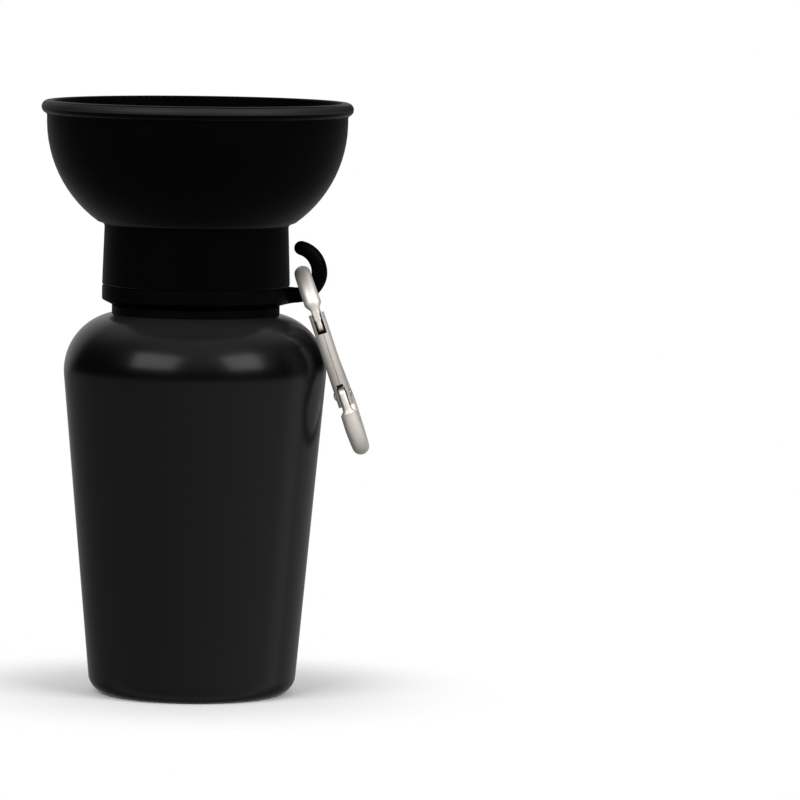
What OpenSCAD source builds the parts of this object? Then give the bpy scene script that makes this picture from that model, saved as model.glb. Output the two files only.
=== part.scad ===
// Dog travel water bottle: a squeeze bottle with a screw cap, a flip-over silicone bowl,
// a turning valve with a loop handle, and a snap hook on a swivel ring.
// Millimetres, +Z up, base at z = 0, bottle axis on Z, hook on the +X side, gate to -Y.
// Rest state: bowl up, valve closed, cap screwed down, snap hook leaning on the shoulder.

/* [Bottle] */
// Diameter at the widest place, just under the shoulder
bottle_d = 89.5; // [80:0.5:100]
// Height of the widest place
shoulder_z = 111; // [95:0.5:125]
// Radius of the shoulder's curve
shoulder_r = 20; // [16:0.5:24]
// Diameter of the ring that the base stands on
foot_d = 57; // [50:0.5:62]
// Radius of the bottom corner
corner_r = 7; // [5:0.5:9]
// How far the base is pushed up in the middle
push_up = 3; // [2:0.5:5]
// Wall thickness
wall = 1.2; // [1:0.1:1.6]
// Height of the flat collar above the shoulder's curve
collar_h = 2.2; // [1.5:0.1:3]
// Outside diameter of the neck at the root of its thread
thread_root_d = 51.4; // [48:0.1:54]
// Wall of the mouth
mouth_wall = 1.5; // [1.2:0.1:2]
// Step from the thread's root out to the plain neck that the ring turns on
neck_step = 1.3; // [1.1:0.1:2]
// Step from the plain neck out to the collar that carries the ring
collar_step = 1.6; // [1.2:0.1:2.4]
// Height of the mouth above the ring
mouth_rise = 13.6; // [12.5:0.1:15]

/* [Thread] */
// Rise in one turn
pitch = 4; // [3:0.5:5]
// Turns of thread on the neck and in the cap
thread_turns = 1.25; // [1:0.25:1.5]
// Height of the ridge over the root
thread_depth = 1.2; // [0.8:0.1:1.3]
// Width of a ridge at its root
thread_w = 1.8; // [1.2:0.1:2]
// Width of a ridge at its crest
thread_crest_w = 0.7; // [0.4:0.1:1]

/* [Swivel ring and hook] */
// Width of the ring from its bore to its outside
ring_w = 4.8; // [4:0.1:6]
// Height of the ring
ring_h = 6.5; // [5:0.5:8]
// Bevel round the ring's lower edge
ring_bevel = 1.8; // [0.5:0.1:2.4]
// Distance of the hook's centre from the ring's outside
hook_out = 1.9; // [1:0.1:4]
// Height of the hook's centre above the ring's underside
hook_rise = 11.3; // [11:0.1:13]
// Radius of the hook's centre line
hook_r = 8; // [7.4:0.1:9]
// Thickness of the hook's rod
hook_rod_d = 5; // [4:0.1:5.6]
// Angle from the hook's outermost place to its tip
hook_tip_angle = 71; // [55:1:80]

/* [Snap hook] */
// Overall length
clip_l = 68; // [60:1:80]
// Thickness of the stock
clip_rod_d = 5.4; // [4.6:0.1:5.8]
// Radius of the upper bow's centre line
top_bow_r = 13.5; // [12:0.5:14]
// Radius of the lower bow's centre line
low_bow_r = 15.5; // [13:0.5:16]
// Distance of the gate's rivet from the top of the snap hook
rivet_s = 45.2; // [43:0.1:47]
// Distance of the gate's latch pin from the top of the snap hook
latch_s = 21; // [20:0.1:22]
// Thickness of the gate
gate_d = 5.4; // [5:0.1:5.8]
// Length of the gate from the rivet to its lower end
gate_tail = 4; // [3.4:0.1:4.4]
// Angle that the gate opens to
gate_swing = 16; // [10:1:20]
// Width of the forks at the gate's two ends
fork_w = 3.7; // [3.2:0.1:3.8]
// Diameter of the gate's rivet
rivet_d = 2; // [1.6:0.1:2.4]
// Diameter of the latch pin
latch_d = 1.6; // [1.2:0.1:2]
// Thickness of the nose in the upper fork
nose_t = 2.2; // [1.8:0.1:2.6]
// Wire of the gate's spring
spring_wire_d = 0.4; // [0.3:0.05:0.5]
// Coils of the gate's spring
spring_coils = 7; // [4:1:10]

/* [Cap] */
// Wall of the cap's skirt
cap_wall = 2.1; // [1.8:0.1:3]
// Thickness of the cap's deck
deck_t = 2.6; // [2.2:0.1:3.2]
// Wall of the raised edge round the valve disc
well_wall = 1.1; // [0.8:0.1:1.6]
// Thickness of the mouth gasket
gasket_t = 2; // [1.5:0.1:3]
// Height of the boss round the spindle, below the deck
spindle_boss_h = 4; // [3:0.5:6]
// Depth of the socket that holds the dip tube
tube_socket_h = 8; // [6:0.5:10]

/* [Valve] */
// Diameter of the valve disc
disc_d = 39; // [35:0.5:41]
// Thickness of the valve disc
disc_t = 2.9; // [2.4:0.1:4]
// Diameter of the spindle
spindle_d = 8; // [6:0.1:9]
// Diameter of the water port
port_d = 5; // [4:0.1:6]
// Distance of the port from the axis
port_x = 12; // [11:0.1:13]
// Quarter turn that opens the valve
valve_swing = 90; // [80:1:95]
// Thickness of the stop lug, and half of its depth
lug_d = 3; // [2.4:0.1:3.4]
// Outside radius of the loop handle
loop_r = 18.3; // [16:0.1:19]
// Height of the loop's centre above the disc
loop_rise = 1.3; // [0:0.1:3]
// Radius of the loop's opening
loop_hole_r = 13.1; // [11:0.1:14]
// How much higher the opening's centre stands than the loop's
loop_hole_up = 0.8; // [0:0.1:1.5]
// Half width of the opening at the disc
loop_hole_half = 12.4; // [10:0.1:13]
// Depth of the loop from front to back
loop_t = 9; // [6:0.1:11]
// Rounding of the loop's edges
loop_edge = 2; // [1:0.1:2.5]

/* [Dip tube] */
// Outside diameter
tube_d = 7; // [6.6:0.1:8]
// Clearance of its cut end over the floor of the bottle
tube_foot = 2; // [1:0.5:4]

/* [Bowl] */
// Height of the sleeve above the ring
sleeve_h = 21; // [19:0.5:24]
// Thickness of the sleeve at its lower edge, outside the cap
sleeve_low_t = 2.7; // [2:0.1:3.5]
// Thickness of the sleeve under the bowl, outside the cap
sleeve_top_t = 2; // [1.6:0.1:3]
// Radius of the bowl's outer curve
bowl_r = 43.1; // [40:0.1:50]
// Outside diameter of the bowl below its bead
bowl_d = 102.4; // [96:0.1:110]
// Height of the bowl above the sleeve, to the top of the bead
bowl_h = 41.8; // [36:0.1:48]
// Thickness of the bowl's wall
bowl_wall = 2.2; // [1.6:0.1:3]
// Thickness of the bowl's floor
floor_t = 1.8; // [1.2:0.1:2.4]
// Width of the bead, and its height
bead_d = 3.6; // [3:0.1:5]

/* [Hidden] */
// clearances
turn_gap = 0.2;   // radial, of the ring on the neck
lift_gap = 0.1;   // axial, between parts that turn on each other
snug = 0.03;      // between a seal or sleeve and its seat
pin_gap = 0.05;   // radial, of a pin that turns
thread_gap = 0.3;
disc_gap = 0.3;
touch_gap = 0.2;  // of the snap hook where it leans on the bottle
join_step = 0.03; // between round solids that run into each other
flank_gap = 0.15; // axial, between the threads' flanks
// bottle
shoulder_x = bottle_d/2 - shoulder_r;
mouth_d = thread_root_d - 2*mouth_wall;
neck_d = thread_root_d + 2*neck_step;
collar_d = neck_d + 2*collar_step;
lean_wall = asin((shoulder_r - corner_r) / norm([shoulder_x - foot_d/2, shoulder_z - corner_r]))
          + atan((shoulder_x - foot_d/2) / (shoulder_z - corner_r));
collar_low_z = shoulder_z + sqrt(pow(shoulder_r, 2) - pow(collar_d/2 - shoulder_x, 2));
collar_z = collar_low_z + collar_h;
ring_z = collar_z + lift_gap;
ring_top_z = ring_z + ring_h;
neck_top_z = ring_top_z + lift_gap;
mouth_z = ring_top_z + mouth_rise;
thread_z = neck_top_z + 3.4;
// cap
cap_z = ring_top_z + 0.3;
cap_bore_r = thread_root_d/2 + thread_depth + thread_gap;
cap_d = 2*(cap_bore_r + cap_wall);
deck_z = mouth_z + gasket_t;
deck_top_z = deck_z + deck_t;
shelf_z = deck_top_z + 0.2;
well_r = disc_d/2 + disc_gap;
stop_a = 135; // where the stop lug's groove starts
disc_z = deck_top_z + 0.2;
disc_top_z = disc_z + disc_t;
boss_z = deck_z - spindle_boss_h;
bore_r = spindle_d/2 + pin_gap;
thread_drop = thread_w - (thread_w - thread_crest_w)/thread_depth*(thread_depth + thread_gap)/2 + flank_gap;
// loop
loop_z = disc_top_z + loop_rise;
// ring and hook
ring_bore_r = neck_d/2 + turn_gap;
ring_d = 2*(ring_bore_r + ring_w);
hook_x = ring_d/2 + hook_out;
hook_z = ring_z + hook_rise;
eye_play = hook_r - hook_rod_d/2 - clip_rod_d/2;
clip_x = hook_x + eye_play - turn_gap;
clip_z = hook_z;
// snap hook, in its own plane: across to the gate, and down from the top bow's stock centre
rod_r = clip_rod_d/2;
low_c = clip_l - clip_rod_d - low_bow_r;
side_fan = asin((low_bow_r - top_bow_r) / (low_c - top_bow_r));
gate_pivot = [-line_x(rivet_s - rod_r), -(rivet_s - rod_r)];
gate_l = rivet_s - rod_r - top_bow_r*(1 - sin(side_fan)) - 0.5;
clip_lean = lean_to_touch(0, 45);
tongue_r = clip_rod_d/2 - 0.2;
tongue_t = fork_w - 0.4;
nose_r = 2.1;
bow_cut = 12; // degrees of the lower bow left out beside the gate's tail
// bowl
sleeve_z = cap_z;
sleeve_low_d = cap_d + 2*sleeve_low_t;
sleeve_top_d = cap_d + 2*sleeve_top_t;
sleeve_top_z = ring_top_z + sleeve_h;
rim_z = sleeve_top_z + bowl_h;
bead_z = rim_z - 0.944*bead_d; // where the bead is a node of its own
bowl_c = arc_centre([sleeve_top_d/2, sleeve_top_z], [bowl_d/2, rim_z - 1.47*bead_d], bowl_r);
floor_z = shelf_z + floor_t;
tube_z = push_up + wall + tube_foot;

// half distance between the side lines at a depth below the top bow's stock centre
function line_x(s) = (top_bow_r / cos(side_fan)) + (s - top_bow_r) * tan(side_fan);
// distance of a point from the bottle's shoulder or wall
function off_bottle(p) = let (r = norm([p[0], p[1]]))
    p[2] > shoulder_z - shoulder_r*sin(lean_wall) ? norm([r - shoulder_x, p[2] - shoulder_z]) - shoulder_r
        : (r - shoulder_x)*cos(lean_wall) - (p[2] - shoulder_z)*sin(lean_wall) - shoulder_r;
// room between the snap hook, its gate shut to open, and the bottle, at an angle from the vertical
function clip_room(a) = let (at = function (y, s) [clip_x + s*sin(a), y, clip_z - s*cos(a)]) min(concat(
    [for (s = [10:1:low_c]) off_bottle(at(line_x(s), s)) - rod_r],
    [for (o = [0:gate_swing/4:gate_swing], t = [-gate_tail:1:gate_l])
        off_bottle(at(gate_pivot[0] + t*sin(side_fan + o), -gate_pivot[1] - t*cos(side_fan + o))) - gate_d/2]));
// least angle that leaves the room, by halving
function lean_to_touch(a, b, n = 14) = n == 0 ? b
    : clip_room((a + b)/2) > touch_gap ? lean_to_touch(a, (a + b)/2, n - 1) : lean_to_touch((a + b)/2, b, n - 1);
// centre of the circle of radius r through a and b that lies to the left of a to b
function arc_centre(a, b, r) =
    let (m = (a + b)/2, d = b - a, h = sqrt(r*r - (d*d)/4))
    m + h * [-d[1], d[0]] / norm(d);
// points of an arc, ends included
function arc(c, r, from, to, n) = [for (i = [0:n]) let (t = from + (to - from)*i/n) c + r*[cos(t), sin(t)]];

$fn = 96;

// a helical ridge that stands on radius r; out is +1 for a neck, -1 for a bore
module ridge(r, out, z) {
    steps = 36;
    n = round(steps * thread_turns);
    slope = (thread_w - thread_crest_w) / 2 / thread_depth;
    section = function (k) [
        [r - 0.6*out, -thread_w/2 - 0.6*slope], [r + k*out*thread_depth, -thread_crest_w/2 - (1 - k)*thread_depth*slope],
        [r + k*out*thread_depth, thread_crest_w/2 + (1 - k)*thread_depth*slope], [r - 0.6*out, thread_w/2 + 0.6*slope]];
    points = [for (i = [0:n]) let (t = 360*i/steps, k = min(1, 0.4 + 0.2*i, 0.4 + 0.2*(n - i)))
        for (p = section(k)) [p[0]*cos(t), p[0]*sin(t), z + p[1] + pitch*t/360]];
    side = function (a, b) out < 0 ? [[a, a + 4, b + 4], [a, b + 4, b]] : [[b + 4, a + 4, a], [b, b + 4, a]];
    end = out < 0 ? [[0, 1, 2, 3], [4*n + 3, 4*n + 2, 4*n + 1, 4*n]] : [[3, 2, 1, 0], [4*n, 4*n + 1, 4*n + 2, 4*n + 3]];
    polyhedron(points, concat([for (i = [0:n-1], j = [0:3]) for (f = side(4*i + j, 4*i + (j + 1) % 4)) f], end), convexity = 4);
}

// turns a shape from the snap hook's plane into place
module in_clip() {
    translate([clip_x, 0, clip_z]) rotate([0, -clip_lean, 0]) rotate([90, 0, 90]) children();
}

// ---- bottle ----
module bottle() {
    inner_r = shoulder_r - wall;
    color("#1c1c1c") union() {
        rotate_extrude() polygon(concat(
            [[0, push_up], [foot_d/2 - 8, push_up], [foot_d/2 - 2.5, 0.4], [foot_d/2 - 1, 0]],
            arc([foot_d/2, corner_r], corner_r, -90, -lean_wall, 8),
            arc([shoulder_x, shoulder_z], shoulder_r, -lean_wall, acos((collar_d/2 - shoulder_x)/shoulder_r), 14),
            [[collar_d/2, collar_z], [neck_d/2, collar_z], [neck_d/2, neck_top_z],
             [thread_root_d/2, neck_top_z], [thread_root_d/2, mouth_z - 0.4], [thread_root_d/2 - 0.4, mouth_z],
             [mouth_d/2, mouth_z]],
            [[mouth_d/2, collar_low_z + wall]],
            arc([shoulder_x, shoulder_z], inner_r, acos((mouth_d/2 + 1 - shoulder_x)/inner_r), -lean_wall, 14),
            arc([foot_d/2, corner_r], corner_r - wall, -lean_wall, -90, 8),
            [[foot_d/2 - 1, wall], [foot_d/2 - 2.5, wall + 0.4], [foot_d/2 - 8, push_up + wall], [0, push_up + wall]]));
        ridge(thread_root_d/2, 1, thread_z);
    }
}

// ---- swivel ring with its hook ----
module hook_ring() {
    bore = ring_bore_r;
    tab_x = hook_x + hook_r*cos(hook_tip_angle);
    tip_r = hook_rod_d/2 - join_step;
    color("#141414") union() {
        difference() {
            union() {
                rotate_extrude() polygon([
                    [bore - 1, ring_z], [ring_d/2 - 2*ring_bevel, ring_z], [ring_d/2, ring_z + ring_bevel],
                    [ring_d/2, ring_top_z - 0.5], [ring_d/2 - 0.5, ring_top_z], [bore - 1, ring_top_z]]);
                // tab that carries the hook
                translate([bore + 1, -hook_rod_d/2 - 0.4, ring_z + 0.9])
                    cube([tab_x - bore - 1, hook_rod_d + 0.8, ring_h - 1.2]);
            }
            translate([0, 0, ring_z - 1]) cylinder(r = bore, h = ring_h + 2);
        }
        translate([hook_x, 0, hook_z]) rotate([90, 0, 0]) {
            rotate([0, 0, -95]) rotate_extrude(angle = 95 + hook_tip_angle) translate([hook_r, 0]) circle(d = hook_rod_d, $fn = 48);
            // round tip
            rotate([0, 0, hook_tip_angle]) translate([hook_r, 0, 0]) rotate([-90, 0, 0]) rotate_extrude($fn = 48)
                polygon(concat([[0, -0.2], [tip_r, -0.2]], arc([0, 0], tip_r, 0, 90, 8)));
        }
    }
}

// ---- snap hook ----
module stock(a, b) {
    translate([a[0], a[1], 0]) rotate([-90, 0, atan2(a[0] - b[0], b[1] - a[1])])
        translate([0, 0, -0.2]) cylinder(r = rod_r - join_step, h = norm(b - a) + 0.4, $fn = 48);
}

module bow(c, r, from, to) {
    translate([c[0], c[1], 0]) rotate([0, 0, from]) rotate_extrude(angle = to - from)
        translate([r, 0]) circle(r = rod_r, $fn = 48);
}

module carabiner_frame() {
    top_c = [0, -top_bow_r];
    bottom_c = [0, -low_c];
    right_top = top_c + top_bow_r*[cos(side_fan), sin(side_fan)];
    right_low = bottom_c + low_bow_r*[cos(side_fan), sin(side_fan)];
    left_top = [-right_top[0], right_top[1]];
    left_low = [-right_low[0], right_low[1]];
    down = (left_low - left_top)/norm(left_low - left_top);
    nose = [-line_x(latch_s - rod_r), -(latch_s - rod_r)];
    notch = latch_d + 2*pin_gap + 0.2;
    color("#b4b1ab") in_clip() difference() {
        union() {
            bow(top_c, top_bow_r, side_fan, 180 - side_fan);
            bow(bottom_c, low_bow_r, 180 - side_fan + bow_cut, 360 + side_fan);
            stock(right_low, right_top);
            // nose, flattened, with a notch that the latch pin drops into
            difference() {
                tongue(left_top, nose, nose_r, nose_t);
                translate([nose[0], nose[1], -3]) rotate([0, 0, -side_fan])
                    translate([-latch_d/2, -notch/2, 0]) cube([6, notch, 6]);
            }
            // lower tongue, rounded about the rivet
            tongue(left_low + 3*down, gate_pivot, tongue_r, tongue_t);
        }
        translate([gate_pivot[0], gate_pivot[1], -3]) cylinder(d = rivet_d + 2*snug, h = 6, $fn = 32);
    }
}

// flat bar of the tongues, from a to b, with a round end about b
module tongue(a, b, half, t) {
    l = norm(b - a);
    translate([a[0], a[1], -t/2]) rotate([0, 0, atan2(b[1] - a[1], b[0] - a[0])])
        linear_extrude(t) polygon(concat([[-1, half], [-1, -half]], arc([l, 0], half, -90, 90, 16)));
}

// places a shape on the gate's line: +Y up the gate from the rivet
module on_gate() {
    translate([gate_pivot[0], gate_pivot[1], 0]) rotate([0, 0, -side_fan]) children();
}

module carabiner_gate() {
    bore_low = tongue_r + 0.4;
    color("#aaa7a1") in_clip() on_gate() difference() {
        translate([0, -gate_tail, 0]) rotate([-90, 0, 0]) cylinder(r = gate_d/2, h = gate_tail + gate_l, $fn = 48);
        // fork over the lower tongue
        translate([-5, -gate_tail - 1, -fork_w/2]) cube([10, gate_tail + 1 + tongue_r + 0.5, fork_w]);
        // fork over the nose
        translate([-5, latch_y() - nose_r - 1.1, -fork_w/2]) cube([10, gate_l - latch_y() + nose_r + 2.1, fork_w]);
        // holes for the rivet and the latch pin
        translate([0, 0, -5]) cylinder(d = rivet_d + 2*pin_gap, h = 10, $fn = 32);
        translate([0, latch_y(), -5]) cylinder(d = latch_d + 2*snug, h = 10, $fn = 32);
        // blind bore for the spring and its plunger
        translate([0, bore_low, 0]) rotate([-90, 0, 0]) cylinder(d = spring_bore_d(), h = 13, $fn = 32);
    }
}
function latch_y() = (rivet_s - latch_s)/cos(side_fan);
function spring_bore_d() = 2.9;

module headed_pin(d, l, head_d, head_h) {
    cylinder(d = d, h = l, center = true, $fn = 32);
    for (side = [-1, 1]) translate([0, 0, side*(l/2 + head_h/2)])
        cylinder(d = head_d, h = head_h, center = true, $fn = 32);
}

module gate_rivet() {
    color("#9c9993") in_clip() on_gate() headed_pin(rivet_d, gate_d + 2*pin_gap, rivet_d + 1.4, 0.6);
}

module latch_pin() {
    color("#9c9993") in_clip() on_gate() translate([0, latch_y(), 0])
        cylinder(d = latch_d, h = gate_d + 0.8, center = true, $fn = 32);
}

module gate_plunger() {
    color("#8f8c86") in_clip() on_gate() translate([0, tongue_r + 0.15, 0]) rotate([-90, 0, 0]) union() {
        cylinder(d = spring_bore_d() - 2*pin_gap - 0.1, h = 2, $fn = 32);
        cylinder(d = 1.2, h = 5, $fn = 32);
    }
}

module gate_spring() {
    low = tongue_r + 0.15 + 2 + spring_wire_d/2;
    high = tongue_r + 0.4 + 13 - spring_wire_d/2 - 0.05;
    steps = 10;
    n = spring_coils * steps;
    r = (spring_bore_d() - 0.3 - spring_wire_d)/2;
    points = [for (i = [0:n]) let (t = 360*i/steps)
        for (q = [0, 90, 180, 270]) let (w = spring_wire_d/2)
            [(r + w*cos(q))*cos(t), (r + w*cos(q))*sin(t), low + (high - low)*i/n + w*sin(q)]];
    sides = [for (i = [0:n-1], j = [0:3]) let (a = 4*i + j, b = 4*i + (j + 1) % 4)
        for (f = [[a, a + 4, b + 4], [a, b + 4, b]]) f];
    color("#77746f") in_clip() on_gate() rotate([-90, 0, 0])
        polyhedron(points, concat(sides, [[0, 1, 2, 3]], [[4*n + 3, 4*n + 2, 4*n + 1, 4*n]]), convexity = 6);
}

// ---- cap ----
module screw_cap() {
    color("#181818") difference() {
        union() {
            rotate_extrude() polygon([
                [0, deck_z], [cap_bore_r, deck_z], [cap_bore_r, cap_z + 0.6], [cap_bore_r + 0.6, cap_z],
                [cap_d/2, cap_z], [cap_d/2, shelf_z], [(well_r + well_wall), shelf_z], [(well_r + well_wall), floor_z + 0.7],
                [well_r, floor_z + 0.7], [well_r, deck_top_z], [0, deck_top_z]]);
            // rib that the sleeve snaps over
            translate([0, 0, (cap_z + shelf_z)/2 - 1]) difference() {
                cylinder(r = cap_d/2 + 0.8, h = 2);
                translate([0, 0, -1]) cylinder(r = cap_d/2 - 0.5, h = 4);
            }
            // boss round the spindle
            translate([0, 0, boss_z]) cylinder(r = spindle_d/2 + 2, h = spindle_boss_h + 0.5);
            // socket for the dip tube
            translate([port_x, 0, deck_z - tube_socket_h]) cylinder(r = tube_d/2 + 1.4, h = tube_socket_h + 0.5);
            ridge(cap_bore_r, -1, thread_z - thread_drop);
        }
        // bore for the spindle
        translate([0, 0, boss_z - 1]) cylinder(r = bore_r, h = 20);
        // water port and its seal's groove
        translate([port_x, 0, deck_z - 1]) cylinder(d = port_d, h = 10);
        translate([port_x, 0, deck_top_z - 1]) cylinder(d = port_d + 3.4, h = 5);
        // socket's bore
        translate([port_x, 0, deck_z - tube_socket_h - 1]) cylinder(r = tube_d/2 + snug, h = tube_socket_h);
        // groove for the valve's stop lug
        for (a = [stop_a, stop_a + valve_swing]) rotate([0, 0, a])
            translate([lug_x(), 0, deck_top_z - 1.2]) cylinder(d = lug_d + 0.4, h = 3, $fn = 48);
        rotate([0, 0, stop_a]) translate([0, 0, deck_top_z - 1.2]) rotate_extrude(angle = valve_swing)
            translate([lug_x() - lug_d/2 - 0.2, 0]) square([lug_d + 0.4, 3]);
    }
}
function lug_x() = well_r - lug_d/2 - 0.9;

module mouth_gasket() {
    color("#d8d6d0") translate([0, 0, mouth_z]) difference() {
        cylinder(r = cap_bore_r - 0.3, h = gasket_t);
        translate([0, 0, -1]) cylinder(r = mouth_d/2 - 0.4, h = gasket_t + 2);
    }
}

module port_seal() {
    color("#d8d6d0") translate([port_x, 0, deck_top_z - 1]) difference() {
        cylinder(r = port_d/2 + 1.7 - snug, h = 1.2 - snug);
        translate([0, 0, -1]) cylinder(r = port_d/2, h = 4);
    }
}

module dip_tube() {
    top = deck_z - 1.1;
    color("#d9dbdc") difference() {
        translate([port_x, 0, tube_z]) cylinder(d = tube_d, h = top - tube_z);
        translate([port_x, 0, tube_z - 1]) cylinder(d = port_d, h = top - tube_z + 2);
        translate([port_x, 0, tube_z]) rotate([0, 45, 0]) translate([-20, -10, -20]) cube([40, 20, 20]);
    }
}

// ---- valve ----
module valve_knob() {
    color("#1b1b1b") difference() {
        union() {
            // disc
            translate([0, 0, disc_z]) cylinder(d = disc_d, h = disc_t - 0.6);
            translate([0, 0, disc_top_z - 0.6]) cylinder(d1 = disc_d, d2 = disc_d - 1.2, h = 0.6);
            // loop
            intersection() {
                translate([0, 0, loop_z]) rotate([90, 0, 0]) difference() {
                    rotate_extrude() polygon([
                        [0, -loop_t/2], [loop_r - loop_edge, -loop_t/2], [loop_r - loop_edge*0.3, -loop_t/2 + loop_edge*0.3],
                        [loop_r, -loop_t/2 + loop_edge], [loop_r, loop_t/2 - loop_edge],
                        [loop_r - loop_edge*0.3, loop_t/2 - loop_edge*0.3], [loop_r - loop_edge, loop_t/2], [0, loop_t/2]]);
                    translate([0, loop_hole_up, 0]) intersection() {
                        rotate_extrude() polygon([
                            [0, -loop_t/2 - 1], [loop_hole_r + 2, -loop_t/2 - 1], [loop_hole_r, -loop_t/2 + 1.2],
                            [loop_hole_r, loop_t/2 - 1.2], [loop_hole_r + 2, loop_t/2 + 1], [0, loop_t/2 + 1]]);
                        translate([-loop_hole_half, -40, -10]) cube([2*loop_hole_half, 80, 20]);
                    }
                }
                translate([-30, -30, disc_z + 0.5]) cube([60, 60, 60]);
            }
            // spindle
            translate([0, 0, spindle_z()]) cylinder(d = spindle_d, h = disc_z - spindle_z() + 0.5);
            // stop lug
            rotate([0, 0, stop_a]) translate([lug_x(), 0, disc_z - 1]) cylinder(d = lug_d, h = 1.5, $fn = 48);
        }
        // port, a quarter turn from the cap's
        rotate([0, 0, -valve_swing]) translate([port_x, 0, disc_z - 2]) cylinder(d = port_d, h = 10);
        // O-ring groove
        translate([0, 0, oring_z() - 1]) difference() {
            cylinder(r = spindle_d, h = 2);
            translate([0, 0, -1]) cylinder(r = spindle_d/2 - 1.3, h = 4);
        }
        // clip groove
        translate([0, 0, clip_groove_z()]) difference() {
            cylinder(r = spindle_d, h = 1.1);
            translate([0, 0, -1]) cylinder(r = spindle_d/2 - 0.8, h = 4);
        }
    }
}
function oring_z() = deck_z + 0.4;
function clip_groove_z() = boss_z - 0.7 - 1.1;
function spindle_z() = boss_z - 3.4;

module spindle_seal() {
    color("#202020") translate([0, 0, oring_z()]) rotate_extrude()
        translate([spindle_d/2 + pin_gap - snug - 0.65, 0]) circle(r = 0.65, $fn = 32);
}

module spring_washer() {
    color("#a9a9a6") translate([0, 0, boss_z - 0.7]) difference() {
        cylinder(r = spindle_d/2 + 1.9, h = 0.6);
        translate([0, 0, -1]) cylinder(r = spindle_d/2 + 0.1, h = 3);
    }
}

module spindle_clip() {
    color("#a9a9a6") translate([0, 0, clip_groove_z() + 0.05]) difference() {
        cylinder(r = spindle_d/2 + 1.6, h = 1);
        translate([0, 0, -1]) cylinder(r = spindle_d/2 - 0.8 + snug, h = 3);
        translate([-2.4, 0, -1]) cube([4.8, 10, 3]);
    }
}

// ---- bowl ----
module silicone_bowl() {
    inner_r = bowl_r - bowl_wall;
    rib_z = (cap_z + shelf_z)/2;
    floor_x = bowl_c[0] + sqrt(pow(inner_r, 2) - pow(bowl_c[1] - floor_z, 2));
    low_a = atan2(floor_z - bowl_c[1], floor_x - bowl_c[0]);
    out_a = atan2(sleeve_top_z - bowl_c[1], sleeve_top_d/2 - bowl_c[0]);
    in_end = asin((bead_z - snug - bowl_c[1])/inner_r);
    out_end = asin((bead_z - snug - bowl_c[1])/bowl_r);
    bore = cap_d/2 + snug;
    color("#191919") rotate_extrude() polygon(concat(
        [[bore, sleeve_z], [sleeve_low_d/2 - 0.4, sleeve_z], [sleeve_low_d/2, sleeve_z + 0.4]],
        arc(bowl_c, bowl_r, out_a, out_end, 20),
        arc(bowl_c, inner_r, in_end, low_a, 18),
        [[(well_r + well_wall) + snug, floor_z], [(well_r + well_wall) + snug, shelf_z], [bore, shelf_z],
         [bore, rib_z + 1 + snug], [bore + 0.8, rib_z + 1 + snug], [bore + 0.8, rib_z - 1 - snug], [bore, rib_z - 1 - snug]]));
}

module bowl_rim() {
    c = [bowl_d/2 - 0.055*bead_d, rim_z - bead_d/2];
    r = bead_d/2;
    low = asin((bead_z - c[1])/r);
    color("#202020") rotate_extrude() polygon(arc(c, r, low, 180 - low, 16));
}

bottle();
hook_ring();
carabiner_frame();
carabiner_gate();
gate_rivet();
latch_pin();
gate_plunger();
gate_spring();
screw_cap();
mouth_gasket();
port_seal();
dip_tube();
valve_knob();
spindle_seal();
spring_washer();
spindle_clip();
silicone_bowl();
bowl_rim();
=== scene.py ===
import bpy, bmesh, math
from mathutils import Matrix, Vector


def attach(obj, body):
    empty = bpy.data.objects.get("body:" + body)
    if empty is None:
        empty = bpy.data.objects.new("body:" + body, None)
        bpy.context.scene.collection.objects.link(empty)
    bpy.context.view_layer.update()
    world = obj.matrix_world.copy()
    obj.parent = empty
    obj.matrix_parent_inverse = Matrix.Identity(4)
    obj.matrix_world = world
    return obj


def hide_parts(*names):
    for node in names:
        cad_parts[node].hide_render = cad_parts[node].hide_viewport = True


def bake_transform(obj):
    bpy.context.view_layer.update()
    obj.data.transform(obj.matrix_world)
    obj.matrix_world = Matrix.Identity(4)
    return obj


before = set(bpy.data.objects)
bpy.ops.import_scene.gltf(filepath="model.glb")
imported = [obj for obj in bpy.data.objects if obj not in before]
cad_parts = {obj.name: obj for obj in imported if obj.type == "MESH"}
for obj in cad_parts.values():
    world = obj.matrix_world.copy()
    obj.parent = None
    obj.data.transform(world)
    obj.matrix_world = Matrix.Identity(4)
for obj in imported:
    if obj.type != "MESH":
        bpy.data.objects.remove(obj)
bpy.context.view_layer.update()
scene = bpy.context.scene
scene.view_settings.view_transform = 'Standard'
mm = 0.001
sameSpot = 0.001  # mm, points nearer than this are one
roundEnd = (0, 16, 34, 52, 70, 84)  # degrees at the stations that close a bar with a round end


def hexToLinear(code):  # sRGB hex to the linear colour that nodes want
    channels = [int(code[i:i + 2], 16) / 255 for i in (1, 3, 5)]
    return (*[c / 12.92 if c <= 0.04045 else ((c + 0.055) / 1.055) ** 2.4 for c in channels], 1.0)


def addNode(tree, kind, settings={}, inputs={}):  # a node with its settings, constants and links
    node = tree.nodes.new(kind)
    for name, value in settings.items():
        setattr(node, name, value)
    for socket, value in inputs.items():
        if isinstance(value, bpy.types.NodeSocket):
            tree.links.new(value, node.inputs[socket])
        else:
            node.inputs[socket].default_value = value
    return node


def between(a, b, part):
    return a + (b - a) * part


def onCircle(centre, radius, degrees):
    a = math.radians(degrees)
    return centre[0] + radius * math.cos(a), centre[1] + radius * math.sin(a)


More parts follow.
